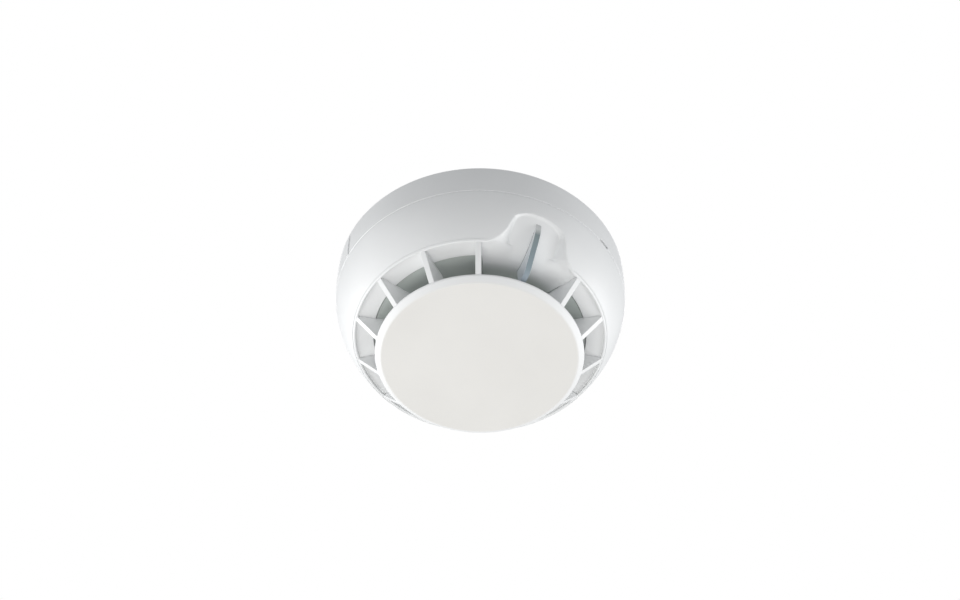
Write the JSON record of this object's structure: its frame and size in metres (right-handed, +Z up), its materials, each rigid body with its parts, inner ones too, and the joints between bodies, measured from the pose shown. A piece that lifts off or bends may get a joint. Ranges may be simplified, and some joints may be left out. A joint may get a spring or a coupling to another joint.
{
  "type": "heat detector",
  "caption": "Ceiling heat detector: shallow white dome on a twist-lock base, open radial vanes over a flat end disc, and a clear indicator fin in a side pocket.",
  "frame": {"origin": "centre of the base's ceiling face, midway between the two fixing slots", "axes": "+Z up into the ceiling along the detector's axis, -Y towards the indicator light, X along the line of the fixing slots"},
  "size_m": [0.1014, 0.101, 0.0409],
  "materials": {
    "white_abs": "satin moulded ABS",
    "carrier_abs": "fine-textured moulded ABS",
    "acetal": "waxy natural acetal",
    "brass_strip": "nickel-flashed stamped brass",
    "zinc_steel": "bright zinc plate",
    "spring_bronze": "rolled phosphor bronze",
    "rivet_brass": "turned brass",
    "board_green": "solder mask over glass-epoxy",
    "chip_black": "moulded epoxy",
    "can_aluminium": "drawn aluminium can",
    "led_clear": "clear epoxy lens",
    "light_guide_clear": "polished clear polycarbonate",
    "thermistor_glass": "glossy epoxy bead",
    "lead_wire": "tinned wire",
    "sleeve_grey": "moulded elastomer"
  },
  "bodies": {
    "base": {"base_housing": "white_abs", "terminal_strip_1": "brass_strip", "terminal_strip_2": "brass_strip", "terminal_strip_3": "brass_strip", "terminal_strip_4": "brass_strip", "terminal_rivets": "rivet_brass", "continuity_rivet": "rivet_brass", "continuity_contact": "brass_strip"},
    "head": {"head_cover": "white_abs", "vane_cage": "white_abs", "end_disc": "white_abs", "sensor_carrier": "carrier_abs", "head_chassis": "carrier_abs", "chassis_screws": "zinc_steel", "contact_plate_1": "brass_strip", "contact_plate_2": "brass_strip", "contact_plate_3": "brass_strip", "contact_plate_4": "brass_strip", "contact_pins": "rivet_brass", "circuit_board": "board_green", "controller_chip": "chip_black", "bridge_rectifier": "chip_black", "smoothing_capacitor": "can_aluminium", "chip_resistors": "chip_black", "led_lamp": "led_clear", "light_guide": "light_guide_clear", "thermistor_bead": "thermistor_glass", "thermistor_leads": "lead_wire", "thermistor_sleeve": "sleeve_grey"},
    "locking_arm": {"locking_arm": "acetal"},
    "continuity_leaf": {"continuity_spring": "spring_bronze"},
    "clamp_1": {"clamp_plate_1": "zinc_steel"},
    "screw_1": {"terminal_screw_1": "zinc_steel"},
    "clamp_2": {"clamp_plate_2": "zinc_steel"},
    "screw_2": {"terminal_screw_2": "zinc_steel"},
    "clamp_3": {"clamp_plate_3": "zinc_steel"},
    "screw_3": {"terminal_screw_3": "zinc_steel"},
    "clamp_4": {"clamp_plate_4": "zinc_steel"},
    "screw_4": {"terminal_screw_4": "zinc_steel"}
  },
  "joints": [
    {"name": "head_twist", "type": "hinge", "parent": "base", "child": "head", "pos_m": [0, 0, 0], "axis": [0, 0, -1], "range_deg": [0, 22]},
    {"name": "locking_arm_flex", "type": "hinge", "parent": "base", "child": "locking_arm", "pos_m": [0.0377, -0.02739, -0.0109], "axis": [0, 0, 1], "range_deg": [0, 3.9]},
    {"name": "continuity_spring_flex", "type": "hinge", "parent": "base", "child": "continuity_leaf", "pos_m": [-0.01414, 0.02562, -0.006], "axis": [-0.2079, 0.9781, 0], "range_deg": [0, 3.05]},
    {"name": "clamp_1_lift", "type": "slide", "parent": "base", "child": "clamp_1", "axis": [0, 0, -1], "range_m": [0, 0.0014]},
    {"name": "terminal_screw_1_turn", "type": "hinge", "parent": "clamp_1", "child": "screw_1", "pos_m": [0.01732, 0.01732, -0.005], "axis": [0, 0, -1], "range_deg": [0, 720]},
    {"name": "clamp_2_lift", "type": "slide", "parent": "base", "child": "clamp_2", "axis": [0, 0, -1], "range_m": [0, 0.0014]},
    {"name": "terminal_screw_2_turn", "type": "hinge", "parent": "clamp_2", "child": "screw_2", "pos_m": [-0.01732, 0.01732, -0.005], "axis": [0, 0, -1], "range_deg": [0, 720]},
    {"name": "clamp_3_lift", "type": "slide", "parent": "base", "child": "clamp_3", "axis": [0, 0, -1], "range_m": [0, 0.0014]},
    {"name": "terminal_screw_3_turn", "type": "hinge", "parent": "clamp_3", "child": "screw_3", "pos_m": [-0.01732, -0.01732, -0.005], "axis": [0, 0, -1], "range_deg": [0, 720]},
    {"name": "clamp_4_lift", "type": "slide", "parent": "base", "child": "clamp_4", "axis": [0, 0, -1], "range_m": [0, 0.0014]},
    {"name": "terminal_screw_4_turn", "type": "hinge", "parent": "clamp_4", "child": "screw_4", "pos_m": [0.01732, -0.01732, -0.005], "axis": [0, 0, -1], "range_deg": [0, 720]}
  ],
  "couplings": [
    {"joint": "locking_arm_flex", "follows": "head_twist", "ratio": 0.17591},
    {"joint": "continuity_spring_flex", "follows": "head_twist", "ratio": 0.13636},
    {"joint": "terminal_screw_1_turn", "follows": "clamp_1_lift", "rad_per_m": 8976},
    {"joint": "terminal_screw_2_turn", "follows": "clamp_2_lift", "rad_per_m": 8976},
    {"joint": "terminal_screw_3_turn", "follows": "clamp_3_lift", "rad_per_m": 8976},
    {"joint": "terminal_screw_4_turn", "follows": "clamp_4_lift", "rad_per_m": 8976}
  ]
}
